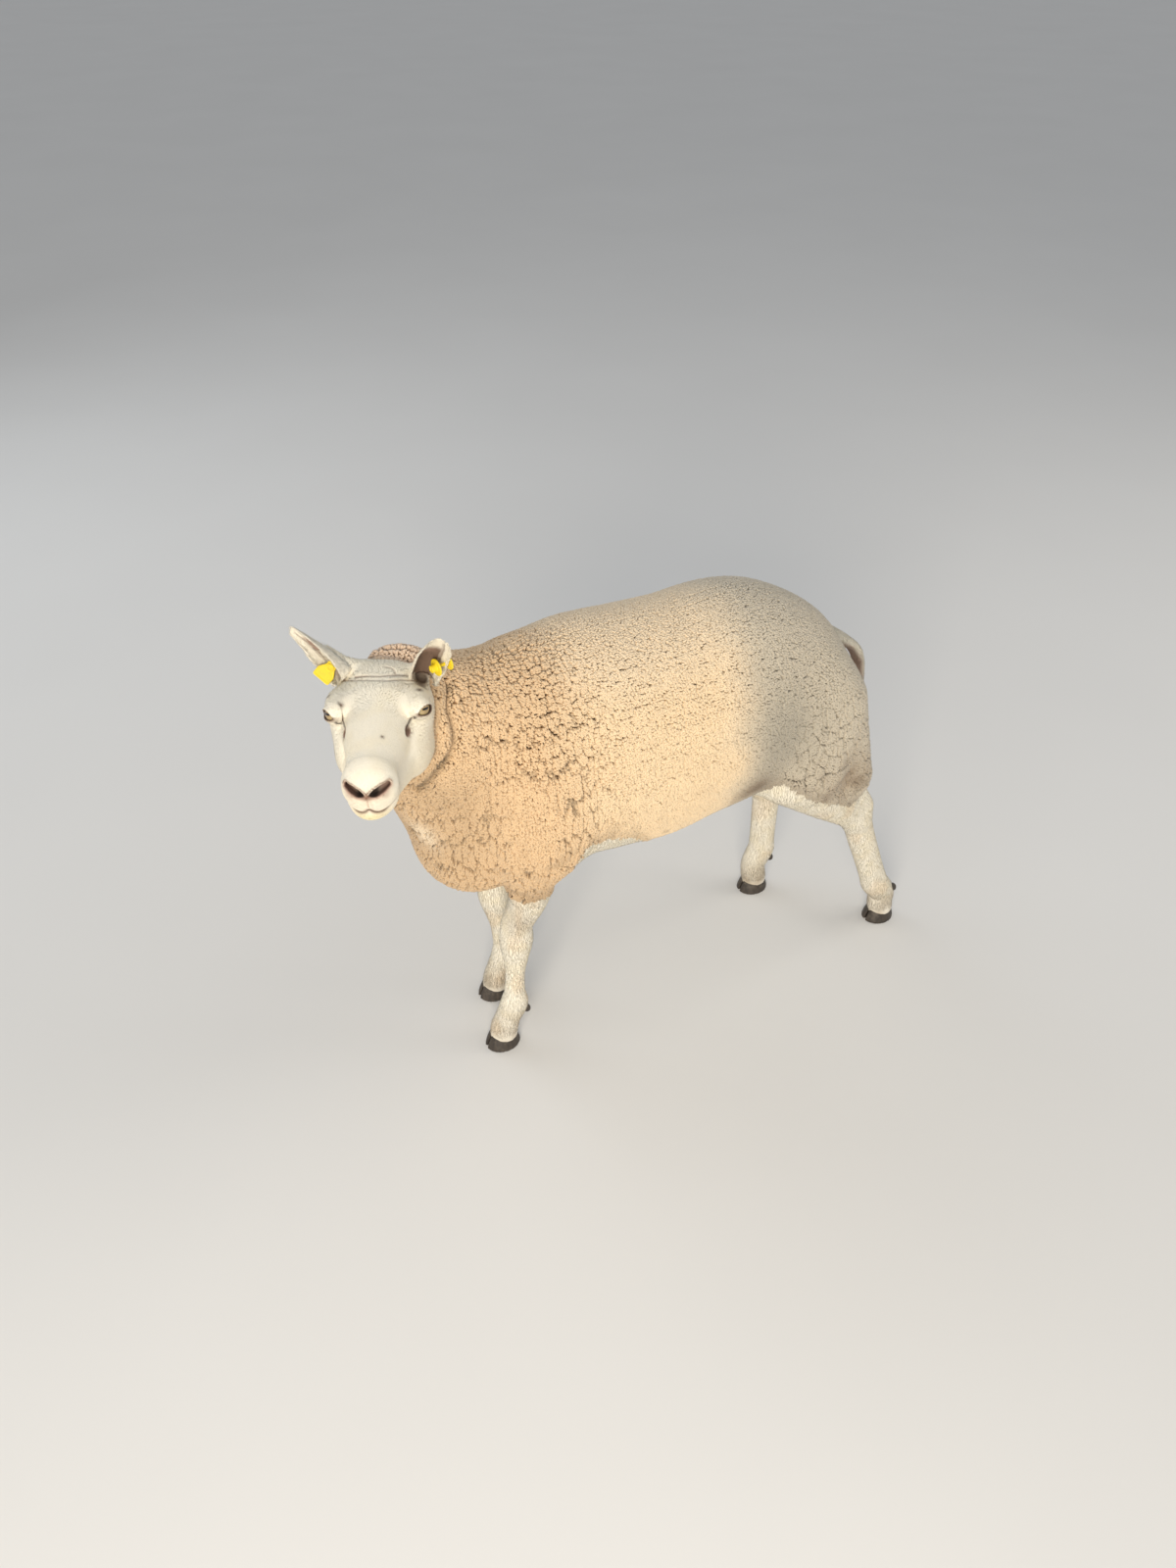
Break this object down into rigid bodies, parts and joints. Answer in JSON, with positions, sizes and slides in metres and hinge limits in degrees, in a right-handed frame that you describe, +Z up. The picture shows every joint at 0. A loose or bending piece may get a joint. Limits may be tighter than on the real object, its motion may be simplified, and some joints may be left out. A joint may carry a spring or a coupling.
{
  "type": "sheep",
  "caption": "Standing polled sheep with a short dense fleece and a bare white face, head turned to its left, mid-step, a plain tag in each ear.",
  "frame": {"origin": "on the ground, below the middle of the animal's bounding box", "axes": "+Z up, the animal's body faces -Y and its own left side is +X"},
  "size_m": [0.4156, 1.0356, 0.8463],
  "materials": {
    "fleece": "dense short wool, tan and cream, brown at the root and where it parts",
    "face": "short white hair over pink skin, bare dark nostrils and lid rims",
    "ear": "short white hair outside, pinkish brown skin inside",
    "leg": "short close white hair, yellowed in places",
    "eye": "wet amber eye with a dark level pupil",
    "horn": "dark hoof horn, dull and lightly ridged",
    "tag": "yellow flexible plastic, bare"
  },
  "bodies": {
    "root": {"trunk": "fleece", "neck": "fleece", "tail": "fleece", "head": "face", "ear_left": "ear", "eye_left": "eye", "tag_left_front": "tag", "tag_left_back": "tag", "ear_right": "ear", "eye_right": "eye", "tag_right_front": "tag", "tag_right_back": "tag", "foreleg_left_upper": "fleece", "foreleg_left_lower": "leg", "foreleg_left_claw_outer": "horn", "foreleg_left_dewclaw_outer": "horn", "foreleg_left_claw_inner": "horn", "foreleg_left_dewclaw_inner": "horn", "foreleg_right_upper": "fleece", "foreleg_right_lower": "leg", "foreleg_right_claw_outer": "horn", "foreleg_right_dewclaw_outer": "horn", "foreleg_right_claw_inner": "horn", "foreleg_right_dewclaw_inner": "horn", "hindleg_left_upper": "fleece", "hindleg_left_lower": "leg", "hindleg_left_claw_outer": "horn", "hindleg_left_dewclaw_outer": "horn", "hindleg_left_claw_inner": "horn", "hindleg_left_dewclaw_inner": "horn", "hindleg_right_upper": "fleece", "hindleg_right_lower": "leg", "hindleg_right_claw_outer": "horn", "hindleg_right_dewclaw_outer": "horn", "hindleg_right_claw_inner": "horn", "hindleg_right_dewclaw_inner": "horn"}
  },
  "joints": []
}
